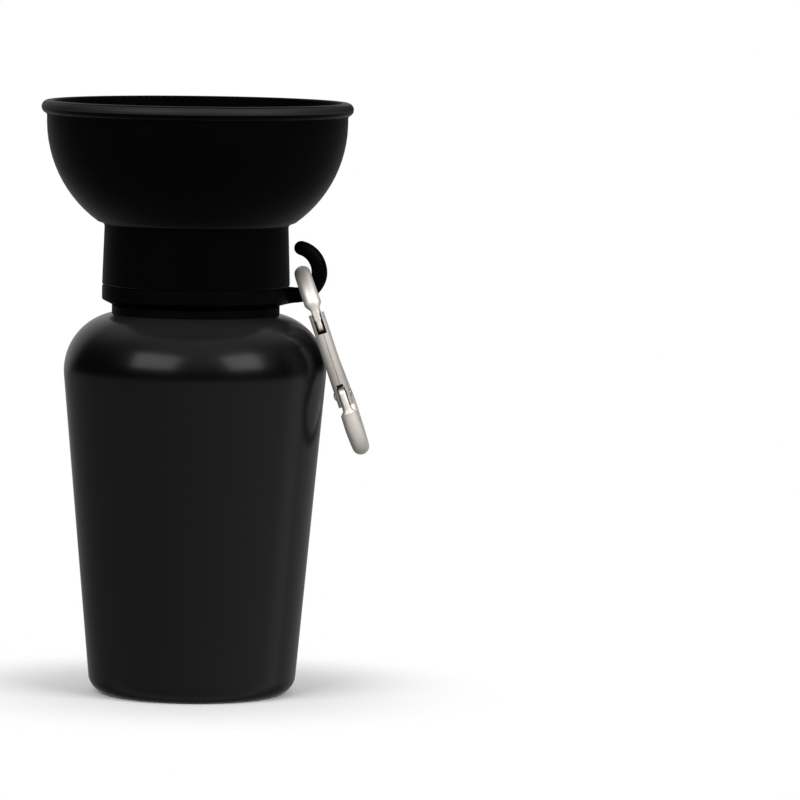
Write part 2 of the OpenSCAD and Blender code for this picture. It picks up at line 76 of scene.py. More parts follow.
def drawProfile(bm, path, closed=False, longest=3.0, arcStep=4, filletStep=12):
    # pen moves in the XZ plane, in mm: (x, z), (x, z, fillet) or ('arc', centre x, centre z, degrees)
    pen, corners, first = None, [], None
    for move in path:
        if move[0] == 'arc':
            turned = bmesh.ops.spin(
                bm, geom=[pen], cent=(move[1], 0, move[2]), axis=(0, -1, 0), dvec=(0, 0, 0),
                angle=math.radians(move[3]), steps=max(3, round(abs(move[3]) / arcStep)), use_merge=False)
            pen = [item for item in turned["geom_last"] if isinstance(item, bmesh.types.BMVert)][0]
        else:
            point = bm.verts.new((move[0], 0, move[1]))
            if pen:
                bm.edges.new((pen, point))
            if len(move) > 2:
                corners.append((point, move[2]))
            pen = point
        first = first or pen
    if closed:
        bm.edges.new((pen, first))
    for point, fillet in corners:
        a, b = [edge.other_vert(point).co - point.co for edge in point.link_edges]
        turn = math.pi - a.angle(b)
        bmesh.ops.bevel(
            bm, geom=[point], offset=fillet * math.tan(turn / 2), offset_type='OFFSET',
            segments=max(2, round(math.degrees(turn) / filletStep)), profile=0.5, affect='VERTICES',
            material=-1, clamp_overlap=False)
    for edge in [e for e in bm.edges if e.calc_length() > longest]:  # short steps keep the shading true
        bmesh.ops.subdivide_edges(bm, edges=[edge], cuts=math.ceil(edge.calc_length() / longest) - 1)


def turnProfile(bm, steps=128):  # turns what is drawn so far about Z
    bmesh.ops.spin(bm, geom=bm.verts[:] + bm.edges[:], cent=(0, 0, 0), axis=(0, 0, 1), dvec=(0, 0, 0),
                   angle=math.tau, steps=steps, use_merge=True)
    bmesh.ops.remove_doubles(bm, verts=bm.verts, dist=sameSpot)


def sweepRod(bm, stations, segments=32):
    # a bar through stations of (centre, direction, side, half width along side, half thickness, squareness 0 to 1)
    previous = None
    for i, (centre, along, side, width, thick, square) in enumerate(stations):
        ring = bmesh.ops.create_circle(bm, cap_ends=False, segments=segments, radius=1)["verts"]
        along, side = Vector(along).normalized(), Vector(side).normalized()
        power = 1 - 0.6 * square  # 1 leaves the ring round, less pushes it out to its corners
        for vert in ring:
            vert.co = Vector([math.copysign(abs(c) ** power, c) for c in vert.co[:2]] + [0])
        third = along.cross(side)
        place = Matrix((side * width, third * thick, along)).transposed().to_4x4()
        place.translation = Vector(centre)
        bmesh.ops.transform(bm, matrix=place, verts=ring)
        edges = list({edge for vert in ring for edge in vert.link_edges})
        if previous is None or i == len(stations) - 1:
            bmesh.ops.contextual_create(bm, geom=edges)
        if previous is not None:
            bmesh.ops.bridge_loops(bm, edges=previous + edges)
        previous = edges


def addCylinder(bm, radius, length, segments, place):
    bmesh.ops.create_cone(bm, cap_ends=True, cap_tris=False, segments=segments, radius1=radius, radius2=radius,
                          depth=length, matrix=place)


def addBox(bm, low, high):
    verts = bmesh.ops.create_cube(bm, size=1)["verts"]
    low, high = Vector(low), Vector(high)
    bmesh.ops.scale(bm, vec=high - low, verts=verts)
    bmesh.ops.translate(bm, vec=(low + high) / 2, verts=verts)
    return verts


def cutAway(bm, cutter):  # takes one closed shape out of another
    shapes = []
    for shape in (bm, cutter):
        bmesh.ops.recalc_face_normals(shape, faces=shape.faces)
        mesh = bpy.data.meshes.new("carving")
        shape.to_mesh(mesh)
        shape.free()
        shapes.append(bpy.data.objects.new("carving", mesh))
        scene.collection.objects.link(shapes[-1])
    cut = shapes[0].modifiers.new("cut", 'BOOLEAN')
    cut.operation, cut.solver, cut.object = 'DIFFERENCE', 'EXACT', shapes[1]
    result = bmesh.new()
    result.from_object(shapes[0], bpy.context.evaluated_depsgraph_get())
    for shape in shapes:
        bpy.data.meshes.remove(shape.data)
    return result


def softenEdges(bm, edges, offset):  # a small round
    bmesh.ops.bevel(bm, geom=edges, offset=offset, offset_type='OFFSET', segments=2, profile=0.5,
                    affect='EDGES', material=-1, clamp_overlap=True)


def makePiece(name, bm, material, body=None, stands=(), sharp=38, others=()):
    bmesh.ops.remove_doubles(bm, verts=bm.verts, dist=sameSpot)
    bmesh.ops.recalc_face_normals(bm, faces=bm.faces)
    bmesh.ops.scale(bm, vec=(mm, mm, mm), verts=bm.verts)
    for face in bm.faces:
        face.smooth = True
    for edge in bm.edges:
        edge.smooth = not (edge.is_manifold and edge.calc_face_angle() > math.radians(sharp))
    mesh = bpy.data.meshes.new(name)
    bm.to_mesh(mesh)
    openEdges, faces = sum(not e.is_manifold for e in bm.edges), len(bm.faces)
    bm.free()
    for finish in (material, *others):
        mesh.materials.append(finish)
    piece = bpy.data.objects.new(name, mesh)
    scene.collection.objects.link(piece)
    if body:
        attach(piece, body)
    if stands:
        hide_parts(*stands)
    print(f"  {name}: {faces} faces, {openEdges} open edges")
    return piece


def paintNodes(material, names):  # the new finish on carried CAD nodes
    for name in names:
        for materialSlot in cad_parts[name].material_slots:
            materialSlot.material = material


def newMaterial(name):
    material = bpy.data.materials.new(name)
    material.use_nodes = True
    material.node_tree.nodes.clear()
    return material


def mouldedPlastic(name, look):  # sizes of the patterns and heights of the bumps in mm
    material = newMaterial(name)
    tree = material.node_tree
    place = addNode(tree, 'ShaderNodeTexCoord').outputs["Object"]
    cloud = addNode(tree, 'ShaderNodeTexNoise', {}, {"Vector": place, "Scale": 1000 / look["cloudSize"], "Detail": 3})
    grain = addNode(tree, 'ShaderNodeTexNoise', {}, {
        "Vector": place, "Scale": 1000 / look["grainSize"], "Detail": 2, "Roughness": 0.6})
    light, dark = [hexToLinear(code) for code in look["colours"]]
    tone = addNode(tree, 'ShaderNodeMix', {"data_type": 'RGBA'}, {0: cloud.outputs["Fac"], 6: light, 7: dark})
    if "paintedReflection" in look:  # a paler grey painted in above a given height: a painted reflection
        low, high, colour = look["paintedReflection"]
        height = addNode(tree, 'ShaderNodeSeparateXYZ', {}, {"Vector": place})
        paintedReflectionMask = addNode(tree, 'ShaderNodeMapRange', {"interpolation_type": 'SMOOTHSTEP'}, {
            "Value": height.outputs["Z"], "From Min": low * mm, "From Max": high * mm})
        tone = addNode(tree, 'ShaderNodeMix', {"data_type": 'RGBA'}, {
            0: paintedReflectionMask.outputs["Result"], 6: tone.outputs[2], 7: hexToLinear(colour)})
    rough = addNode(tree, 'ShaderNodeMapRange', {}, {
        "Value": cloud.outputs["Fac"], "From Min": 0.3, "From Max": 0.7,
        "To Min": look["roughness"][0], "To Max": look["roughness"][1]})
    fine = addNode(tree, 'ShaderNodeBump', {}, {"Height": grain.outputs["Fac"], "Distance": look["grainHeight"] * mm})
    broad = addNode(tree, 'ShaderNodeBump', {}, {
        "Height": cloud.outputs["Fac"], "Distance": look["waveHeight"] * mm, "Normal": fine.outputs["Normal"]})
    shader = addNode(tree, 'ShaderNodeBsdfPrincipled', {}, {
        "Base Color": tone.outputs[2], "Roughness": rough.outputs["Result"], "Normal": broad.outputs["Normal"],
        **look["constants"]})
    addNode(tree, 'ShaderNodeOutputMaterial', {}, {"Surface": shader.outputs["BSDF"]})
    return material


def dressedMetal(name, look):  # scuffs drawn out along the metal's own direction
    material = newMaterial(name)
    tree = material.node_tree
    place = addNode(tree, 'ShaderNodeTexCoord').outputs["Object"]
    drawn = addNode(tree, 'ShaderNodeMapping', {}, {
        "Vector": place, "Rotation": (0, math.radians(look["lean"]), 0), "Scale": look["stretch"]})
    cloud = addNode(tree, 'ShaderNodeTexNoise', {}, {"Vector": place, "Scale": 1000 / look["cloudSize"], "Detail": 3})
    scuff = addNode(tree, 'ShaderNodeTexNoise', {}, {
        "Vector": drawn.outputs["Vector"], "Scale": 1000 / look["grainSize"], "Detail": 3, "Roughness": 0.65})
    light, dark = [hexToLinear(code) for code in look["colours"]]
    tone = addNode(tree, 'ShaderNodeMix', {"data_type": 'RGBA'}, {0: cloud.outputs["Fac"], 6: light, 7: dark})
    rough = addNode(tree, 'ShaderNodeMapRange', {}, {
        "Value": scuff.outputs["Fac"], "From Min": 0.3, "From Max": 0.7,
        "To Min": look["roughness"][0], "To Max": look["roughness"][1]})
    fine = addNode(tree, 'ShaderNodeBump', {}, {"Height": scuff.outputs["Fac"], "Distance": look["grainHeight"] * mm})
    shader = addNode(tree, 'ShaderNodeBsdfPrincipled', {}, {
        "Base Color": tone.outputs[2], "Roughness": rough.outputs["Result"], "Normal": fine.outputs["Normal"],
        "Metallic": look["metallic"]})
    addNode(tree, 'ShaderNodeOutputMaterial', {}, {"Surface": shader.outputs["BSDF"]})
    return material


print("materials")
# blow-moulded low-density polyethylene: a soft satin skin with gentle waves where the wall cooled unevenly,
# painted paler grey near the top under the ring, a painted reflection that also lifts the shade there
satinPolyethylene = mouldedPlastic("blow-moulded satin polyethylene", {
    "colours": ("#040404", "#060606"), "paintedReflection": (120.5, 127, "#1e1e1e"), "cloudSize": 38, "grainSize": 0.7,
    "roughness": (0.2, 0.25), "grainHeight": 0.002, "waveHeight": 0.03,
    "constants": {"IOR": 1.51, "Specular IOR Level": 0.13}})
# the same polyethylene at the neck, where the mould insert leaves it dull, and painted darker there as shade under the
# ring
dullShadedPolyethylene = mouldedPlastic("moulded dull polyethylene neck, painted shade", {
    "colours": ("#020202", "#040404"), "cloudSize": 20, "grainSize": 0.7,
    "roughness": (0.45, 0.52), "grainHeight": 0.003, "waveHeight": 0.01,
    "constants": {"IOR": 1.51, "Specular IOR Level": 0.02}})
# liquid silicone rubber from a bead-blasted mould: dead matte, faintly dusty where light grazes it
matteSilicone = mouldedPlastic("matte moulded silicone", {
    "colours": ("#020202", "#040404"), "cloudSize": 22, "grainSize": 0.6,
    "roughness": (0.5, 0.6), "grainHeight": 0.006, "waveHeight": 0.02,
    "constants": {"IOR": 1.41, "Specular IOR Level": 0.01, "Sheen Weight": 0.18, "Sheen Roughness": 0.32}})
# the same rubber painted lighter grey, with more specular, on the upper outer lip: a painted highlight where light from
# above falls
paintedHighlightSilicone = mouldedPlastic("matte moulded silicone, painted highlight on lip", {
    "colours": ("#111111", "#151515"), "cloudSize": 22, "grainSize": 0.6,
    "roughness": (0.5, 0.58), "grainHeight": 0.004, "waveHeight": 0.02,
    "constants": {"IOR": 1.41, "Specular IOR Level": 0.28}})
# injection-moulded polypropylene: hard, fine-grained, deep black
finePolypropylene = mouldedPlastic("injection-moulded fine satin polypropylene", {
    "colours": ("#020202", "#030303"), "cloudSize": 12, "grainSize": 0.5,
    "roughness": (0.38, 0.44), "grainHeight": 0.003, "waveHeight": 0.008,
    "constants": {"IOR": 1.49, "Specular IOR Level": 0.02}})
# the same plastic, polished by fingers: a broad soft sheen on the carrying loop
handledPolypropylene = mouldedPlastic("injection-moulded polypropylene, worn satin by handling", {
    "colours": ("#0c0c0c", "#111111"), "cloudSize": 12, "grainSize": 0.5,
    "roughness": (0.4, 0.48), "grainHeight": 0.003, "waveHeight": 0.008,
    "constants": {"IOR": 1.49, "Specular IOR Level": 0.25}})
# aluminium wire, tumbled after forming: even satin silver with faint scuffs along the wire
tumbledAluminium = dressedMetal("tumbled satin aluminium", {
    "colours": ("#e2ddd7", "#d4cfc8"), "cloudSize": 6, "grainSize": 0.5, "roughness": (0.48, 0.56),
    "grainHeight": 0.0012, "metallic": 0.72, "lean": 19, "stretch": (1, 1, 0.4)})
# stamped aluminium sheet, folded into the gate: a shade darker and duller than the wire
foldedAluminium = dressedMetal("folded satin aluminium sheet", {
    "colours": ("#bcb7b2", "#afaaa4"), "cloudSize": 8, "grainSize": 0.5, "roughness": (0.62, 0.7),
    "grainHeight": 0.0012, "metallic": 0.65, "lean": 19, "stretch": (1, 1, 0.25)})
# aluminium painted near black as shade: used inside the folded sheet and on the plunger in the notch, where shade
# falls, and on the latch pin
paintedShadeAluminium = dressedMetal("aluminium painted dark as shade in the folded sheet", {
    "colours": ("#24211e", "#1a1816"), "cloudSize": 4, "grainSize": 0.6, "roughness": (0.55, 0.65),
    "grainHeight": 0.004, "metallic": 0.7, "lean": 0, "stretch": (1, 1, 1)})
# drawn steel pin: small clean heads
drawnSteel = dressedMetal("drawn satin steel", {
    "colours": ("#b9b6b1", "#a7a49f"), "cloudSize": 3, "grainSize": 0.3, "roughness": (0.42, 0.5),
    "grainHeight": 0.002, "metallic": 1.0, "lean": 0, "stretch": (1, 1, 1)})
# spring steel, grey and shiny with oil
springSteel = dressedMetal("oiled spring steel", {
    "colours": ("#8f8c88", "#7d7a76"), "cloudSize": 3, "grainSize": 0.3, "roughness": (0.25, 0.35),
    "grainHeight": 0.002, "metallic": 1.0, "lean": 0, "stretch": (1, 1, 1)})
# extruded polyethylene tube: milky, lets light through
milkyTube = mouldedPlastic("extruded milky polyethylene tube", {
    "colours": ("#dfe3e4", "#d3d8da"), "cloudSize": 9, "grainSize": 0.8,
    "roughness": (0.25, 0.35), "grainHeight": 0.003, "waveHeight": 0.01,
    "constants": {"IOR": 1.51, "Transmission Weight": 0.35}})
# uncoloured silicone seal: soft, off-white, waxy
naturalSilicone = mouldedPlastic("natural silicone seal", {
    "colours": ("#dcdad3", "#cfccc4"), "cloudSize": 5, "grainSize": 0.4,
    "roughness": (0.45, 0.55), "grainHeight": 0.003, "waveHeight": 0.005,
    "constants": {"IOR": 1.41, "Subsurface Weight": 0.1, "Subsurface Radius": (0.002, 0.0018, 0.0015),
                  "Subsurface Scale": 1.0}})

print("bottle")
bottleSizes = {
    "widest": 89.5, "shoulderZ": 110.3, "shoulderR": 20.0, "foot": 58.2, "cornerR": 6.4, "pushUp": 3.0, "wall": 1.2,
    "standing": 3.2, "risen": 8,  # from the foot's edge in to where the base leaves the table, where it is pushed up
    "collarR": 28.6, "collarTop": 132.826, "dullShadedBand": 2.2, "neckR": 27.0, "neckTop": 139.526, "rootR": 25.7,
    "mouthR": 24.2, "mouthZ": 153.026, "threadZ": 142.926, "pitch": 4.0, "turns": 1.25, "turnSteps": 40,
    "ridge": 1.2, "ridgeFoot": 1.1, "ridgeTop": 0.35, "ridgeSunk": 0.4,
    "ridgeFade": 0.12, "ridgeLeast": 0.3,  # turns over which its ends sink, to what part of its height
    "pinchBar": (30, 0.8, 0.9), "pinchRound": 0.25}


def addThread(bm, s):  # a short ridge wound round the neck, sunk a little into it, its ends faded
    ridge = bmesh.new()
    foot, crest = s["rootR"] - s["ridgeSunk"], s["rootR"] + s["ridge"]
    corners = [ridge.verts.new(corner) for corner in ((foot, 0, -s["ridgeFoot"]), (crest, 0, -s["ridgeTop"]),
                                                      (crest, 0, s["ridgeTop"]), (foot, 0, s["ridgeFoot"]))]
    profile = [ridge.edges.new(pair) for pair in zip(corners, corners[1:] + corners[:1])]
    bmesh.ops.spin(ridge, geom=corners + profile, cent=(0, 0, 0), axis=(0, 0, 1),
                   dvec=(0, 0, s["pitch"] / s["turnSteps"]), angle=math.tau * s["turns"],
                   steps=round(s["turnSteps"] * s["turns"]), use_merge=False)
    bmesh.ops.holes_fill(ridge, edges=[e for e in ridge.edges if e.is_boundary], sides=4)
    bmesh.ops.translate(ridge, vec=(0, 0, s["threadZ"]), verts=ridge.verts)
    for vert in ridge.verts:
        turn = (vert.co.z - s["threadZ"]) / s["pitch"]
        risen = min(1, max(s["ridgeLeast"], turn / s["ridgeFade"]),
                    max(s["ridgeLeast"], (s["turns"] - turn) / s["ridgeFade"]))
        radius = math.hypot(vert.co.x, vert.co.y)
        if radius > s["rootR"]:
            pulled = (s["rootR"] + s["ridge"] * risen) / radius
            vert.co.x, vert.co.y = vert.co.x * pulled, vert.co.y * pulled
    ridgeMesh = bpy.data.meshes.new("ridge")
    ridge.to_mesh(ridgeMesh)
    ridge.free()
    bm.from_mesh(ridgeMesh)
    bpy.data.meshes.remove(ridgeMesh)


def addPinchBar(bm, s):  # the pinched-off seam across the pushed-up base
    half, middle = Vector(s["pinchBar"]) / 2, Vector((0, 0, s["pushUp"]))
    bar = addBox(bm, middle - half, middle + half)
    softenEdges(bm, list({e for v in bar for e in v.link_edges}), s["pinchRound"])


def makeBottle(s):
    bm = bmesh.new()
    footX, footZ = s["foot"] / 2, s["cornerR"]
    risenX = footX - s["risen"]
    shoulderX, shoulderZ = s["widest"] / 2 - s["shoulderR"], s["shoulderZ"]
    rise, outward = shoulderZ - footZ, shoulderX - footX
    lean = math.degrees(math.asin((s["shoulderR"] - s["cornerR"]) / math.hypot(outward, rise))
                        + math.atan(outward / rise))
    top = math.degrees(math.acos((s["collarR"] - shoulderX) / s["shoulderR"]))
    wallFoot = onCircle((footX, footZ), s["cornerR"], -lean)
    wallTop = onCircle((shoulderX, shoulderZ), s["shoulderR"], -lean)
    wall, inner = s["wall"], s["shoulderR"] - s["wall"]
    innerTop = math.degrees(math.acos((s["mouthR"] + 1 - shoulderX) / inner))
    drawProfile(bm, [
        (0, s["pushUp"]), (risenX, s["pushUp"], 4), (footX - s["standing"], 0.0, 1.2), (footX, 0.0),
        ('arc', footX, footZ, 90 - lean), wallTop, ('arc', shoulderX, shoulderZ, lean + top),
        (s["collarR"], s["collarTop"], 0.25), (s["neckR"], s["collarTop"]),
        (s["neckR"], s["neckTop"], 0.2), (s["rootR"], s["neckTop"]),
        (s["rootR"], s["mouthZ"], 0.5), (s["mouthR"], s["mouthZ"], 0.4), (s["mouthR"], s["collarTop"] - 1, 1.0),
        onCircle((shoulderX, shoulderZ), inner, innerTop), ('arc', shoulderX, shoulderZ, -lean - innerTop),
        (wallFoot[0] - wall, wallFoot[1] + wall), (footX - 1, wall, 3.0),
        (risenX, s["pushUp"] + wall, 4), (0, s["pushUp"] + wall)])
    turnProfile(bm, 160)
    # the neck and the top of the shoulder under the ring take the duller copy, painted darker as shade
    for face in bm.faces:
        face.material_index = int(face.calc_center_median().z > s["collarTop"] - s["dullShadedBand"])
    addThread(bm, s)
    addPinchBar(bm, s)
    makePiece("bottle_body", bm, satinPolyethylene, "bottle", ["bottle"], others=[dullShadedPolyethylene])


makeBottle(bottleSizes)

print("bowl")
bowlSizes = {
    "bore": 29.33, "foot": 32.0, "sleeveZ": 139.726, "sleeveTopR": 31.3, "sleeveTopZ": 160.426,
    "curveR": 41.87, "centre": (9.3, 195.27), "trimmed": 3.5, "sideR": 51.2, "rimZ": 202.226, "wall": 2.2,
    "beadR": 2.3, "beadX": 50.75, "beadFrom": -72, "beadTo": 88, "underBead": 2.7, "lipR": 49.1,
    "paintedHighlightBand": (-0.4, 0.5, 0.3),  # band of the roll that carries the painted highlight: from its middle, to below its top, out from the side
    "floorZ": 159.626, "shelfZ": 157.826, "wellR": 20.93, "ribZ": 148.776, "rib": (0.8, 1)}


def makeBowl(s):
    bm = bmesh.new()
    centre, inner = s["centre"], s["curveR"] - s["wall"]
    cx, cz = centre
    start = math.degrees(math.atan2(s["sleeveTopZ"] - cz, s["sleeveTopR"] - cx)) + s["trimmed"]
    floorX = cx + math.sqrt(inner ** 2 - (cz - s["floorZ"]) ** 2)
    low = math.degrees(math.atan2(s["floorZ"] - cz, floorX - cx))
    beadZ = s["rimZ"] - s["beadR"]
    ribOut, ribHalf = s["rib"]
    drawProfile(bm, [
        (s["bore"], s["sleeveZ"], 0.2), (s["foot"], s["sleeveZ"], 0.5), (s["sleeveTopR"], s["sleeveTopZ"], 1.3),
        onCircle(centre, s["curveR"], start), ('arc', cx, cz, -start - 1),
        (s["sideR"], beadZ - s["underBead"], 0.5), (*onCircle((s["beadX"], beadZ), s["beadR"], s["beadFrom"]), 0.2),
        ('arc', s["beadX"], beadZ, s["beadTo"] - s["beadFrom"]), (s["lipR"], s["rimZ"], 0.8),
        onCircle(centre, inner, -1), ('arc', cx, cz, low + 1),
        (floorX - 1.0, s["floorZ"], 0.5), (s["wellR"], s["floorZ"], 0.3), (s["wellR"], s["shelfZ"]),
        (s["bore"], s["shelfZ"]), (s["bore"], s["ribZ"] + ribHalf), (s["bore"] + ribOut, s["ribZ"] + ribHalf),
        (s["bore"] + ribOut, s["ribZ"] - ribHalf), (s["bore"], s["ribZ"] - ribHalf)],
        closed=True, longest=1.6)
    turnProfile(bm, 160)
    low, high, out = s["paintedHighlightBand"]
    for face in bm.faces:  # only the upper half of the outer roll, where light from above falls, gets the painted highlight
        middle = face.calc_center_median()
        onRoll = math.hypot(middle.x, middle.y) > s["sideR"] + out
        face.material_index = int(onRoll and low < middle.z - beadZ < s["beadR"] - high)
    bowl = makePiece("flip_bowl", bm, matteSilicone, None, ["silicone_bowl", "bowl_rim"],
                     others=[paintedHighlightSilicone])
    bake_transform(bowl)


makeBowl(bowlSizes)

print("ring and hook")
ringSizes = {
    "bore": 27.2, "outer": 32.0, "low": 132.926, "high": 139.426, "bevel": (3.5, 1.8),
    "hookX": 33.9, "hookZ": 144.226, "hookR": 8.1, "hookLow": 7.6, "hookTall": 8.7, "rod": (3.05, 2.45), "thinned": 0.4,
    # root of the hook in the ring: x, height over its lowest line, slope, half width, half thickness, squareness
    "root": ((28.6, 0.05, 0.0, 3.3, 3.25, 0.7), (31.0, 0.4, 0.08, 3.2, 2.95, 0.6), (32.6, 0.5, 0.03, 3.1, 2.8, 0.3)),
    "tip": 77, "tipRound": (18, 36, 54, 70, 82)}


def makeRing(s):
    bm = bmesh.new()
    drawProfile(bm, [
        (s["bore"], s["low"], 0.2), (s["outer"] - s["bevel"][0], s["low"], 0.5),
        (s["outer"], s["low"] + s["bevel"][1], 0.7), (s["outer"], s["high"], 0.4), (s["bore"], s["high"], 0.2)],
        closed=True)
    turnProfile(bm, 160)
    side = Vector((0, 1, 0))
    centre = Vector((s["hookX"], 0, s["hookZ"]))
    rootZ = s["hookZ"] - s["hookR"]
    stations = [((x, 0, rootZ + up), (1, 0, slope), side, wide, thick, square)
                for x, up, slope, wide, thick, square in s["root"]]
    count = 26
    for i in range(count + 1):
        angle = math.radians(-90 + (90 + s["tip"]) * i / count)
        tall = s["hookLow"] if angle < 0 else s["hookTall"]
        spot = centre + Vector((s["hookR"] * math.cos(angle), 0, tall * math.sin(angle)))
        along = Vector((-s["hookR"] * math.sin(angle), 0, tall * math.cos(angle)))
        half = between(*s["rod"], i / count)
        stations.append((spot, along, side, half, half - max(0, -s["thinned"] * math.sin(angle)), 0.0))
    end, along, _, half = stations[-1][:4]
    for degrees in s["tipRound"]:
        a = math.radians(degrees)
        stations.append((end + along.normalized() * half * math.sin(a), along, side,
                         half * math.cos(a), half * math.cos(a), 0.0))
    sweepRod(bm, stations)
    makePiece("swivel_ring", bm, finePolypropylene, "hook_ring", ["hook_ring"])


makeRing(ringSizes)

print("snap hook")
hookSizes = {
    # local axes: X to the gate's side, Y up the hook, Z to the bottle
    "top": (36.5, 144.226), "lean": 19.02, "fan": 3.41248, "topR": 13.5, "lowR": 15.5, "lowC": 47.1,
    "rod": 2.7,  # half thickness of the wire, in the hook's plane
    "crown": (2.45, 2.75, 0.35),  # at the crown: half thickness, half width, set to the bottle's side
    "spine": (2.6, 1.6, 0.4),  # half width low and high on the back, how far it is set out low down and in higher up
    "bow": (2.95, 3.12, 2.88),  # half width of the low bow: at the stock, after it, farther on
    "stock": 2.95, "neck": 2.7,  # half width over the nose, length drawn down to it
    "noseS": 18.3, "nose": (1.85, 1.5, 1.02, -0.1),  # half thickness, half width at its root and its tip, drop
    # the nose fills the fork, then steps in: part of its length, how far it has stepped
    "noseStep": ((0.04, 0), (0.3, 0), (0.52, 0), (0.57, 0.12), (0.62, 0.5), (0.67, 0.88), (0.72, 1), (0.88, 1)),
    "pivotS": 42.5, "tongue": (2.4, 1.44, 0.6),  # half thickness, half width, squareness
    # shoulder of the low stock: mm before the bow, how far it has grown, squareness
    "shoulder": ((2.2, 0, 0.6), (1.9, 0.04, 0.5), (1.5, 0.15, 0.4), (1.1, 0.36, 0.25), (0.7, 0.62, 0.15),
                 (0.3, 0.85, 0.1)),
    "bowCut": 12,  # degrees of the low bow that the gate's tail takes
    "gateR": 2.7, "gateBore": 1.6, "gateTop": 28.9, "gateTail": 4.0, "gateRound": 0.14,
    # the gate's slots: width, depth behind its line, room past the nose and past the tongue
    "fork": 3.1, "forkBack": 1.95, "endGap": 0.75, "tailGap": 0.1, "notch": (1.15, 1.2), "seam": (0.32, 0.14),
    "pinR": 0.8, "pinHalf": 2.7, "rivetR": 1.0, "rivetHalf": 2.72, "rivetHead": (1.35, 0.45)}  # radius, height


def hookPlace(s):
    lean = math.radians(s["lean"])
    axes = (0, -1, 0), (-math.sin(lean), 0, math.cos(lean)), (-math.cos(lean), 0, -math.sin(lean))
    place = Matrix(axes).transposed().to_4x4()
    place.translation = Vector((s["top"][0], 0, s["top"][1]))
    return place


def sideSpot(s, depth):  # a point on the gate's line, by its depth below the crown
    fan = math.radians(s["fan"])
    return Vector((s["topR"] / math.cos(fan) + (depth - s["topR"]) * math.tan(fan), -depth, 0))


def gatePlace(s):  # the gate's own line, Y up from its rivet
    turn = Matrix.Rotation(math.radians(s["fan"]), 4, 'Z')
    turn.translation = sideSpot(s, s["pivotS"])
    return hookPlace(s) @ turn


def tongueStations(s, down, across, bowPoint):  # round about the rivet, then the shoulder of the stock
    pivot = sideSpot(s, s["pivotS"])
    thick, wide, square = s["tongue"]
    stations = []
    for degrees in reversed(roundEnd):
        a = math.radians(degrees)
        stations.append((pivot - down * thick * math.sin(a), down, across, thick * math.cos(a), wide, square))
    reach = (bowPoint - pivot).dot(down)
    for back, grown, square in s["shoulder"]:
        stations.append((pivot + down * (reach - back), down, across,
                         between(thick, s["rod"], grown), between(wide, s["bow"][0], grown), square))
    return stations


def lowBowStations(s, flat, bowStart):
    centre, stations, count = Vector((0, -s["lowC"], 0)), [], 80
    swept = math.radians(180 + s["fan"]) + bowStart - math.radians(2 * s["fan"])
    for i in range(count + 1):
        a = bowStart - swept * i / count
        point = centre + s["lowR"] * Vector((math.cos(a), math.sin(a), 0))
        along = Vector((math.sin(a), -math.cos(a), 0))
        back = max(0, i / count * 3 - 2)  # the last third runs into the flatter back of the hook
        early, late = min(1, i / count * 8), min(1, max(0, i / count * 4 - 0.5))  # swells, then slims again
        half = between(s["bow"][0], s["bow"][1], early) + (s["bow"][2] - s["bow"][1]) * late
        stations.append((point - flat * s["spine"][2] * back, along, along.cross(flat), s["rod"],
                         between(half, s["spine"][0], back), 0.0))
    return stations


def topBowStations(s, flat):
    centre, stations, count = Vector((0, -s["topR"], 0)), [], 96
    thick, wide, inward = s["crown"]
    for i in range(count + 1):
        a = math.radians(180 - s["fan"] - (180 - 2 * s["fan"]) * i / count)
        crown = math.sin(a) ** 2
        back, front = max(0, 1 - i / count * 2.4), max(0, i / count * 2 - 1)  # nearness to the spine, to the stock
        point = centre + s["topR"] * Vector((math.cos(a), math.sin(a), 0))
        point = point + flat * (s["spine"][2] * back + inward * crown)
        along = Vector((math.sin(a), -math.cos(a), 0))
        drawn = max(0, 1 - (a - math.radians(s["fan"])) * s["topR"] / s["neck"])
        drawn = drawn * drawn * (3 - 2 * drawn)  # the stock is drawn down to the nose
        half = between(wide, s["spine"][1], back ** 1.5) + (s["stock"] - wide) * front
        stations.append((point, along, along.cross(flat), between(between(s["rod"], thick, crown), s["nose"][0], drawn),
                         between(half, s["nose"][1], drawn), 0.7 * drawn))
    return stations


def noseStations(s, down, across, end):
    thick, wide, stepped, drop = s["nose"]
    tip = sideSpot(s, s["noseS"]) + down * drop
    reach = (tip - end).length
    stations = [(end + down * reach * part, down, across, thick, between(wide, stepped, narrowed), 0.75)
                for part, narrowed in s["noseStep"]]
    for degrees in roundEnd:
        a = math.radians(degrees)
        stations.append((tip + down * thick * math.sin(a), down, across, thick * math.cos(a), stepped, 0.75))
    return stations


def makeHookFrame(s):
    bm = bmesh.new()
    fan = math.radians(s["fan"])
    flat, down = Vector((0, 0, 1)), Vector((math.sin(fan), -math.cos(fan), 0))
    across = down.cross(flat)
    bowStart = math.radians(s["fan"] - s["bowCut"])
    bowPoint = Vector((0, -s["lowC"], 0)) + s["lowR"] * Vector((math.cos(bowStart), math.sin(bowStart), 0))
    stations = tongueStations(s, down, across, bowPoint) + lowBowStations(s, flat, bowStart) + topBowStations(s, flat)
    stations += noseStations(s, down, across, stations[-1][0])
    sweepRod(bm, stations)
    bmesh.ops.transform(bm, matrix=hookPlace(s), verts=bm.verts)
    makePiece("snap_hook_frame", bm, tumbledAluminium, "carabiner", ["carabiner_frame"], sharp=32)


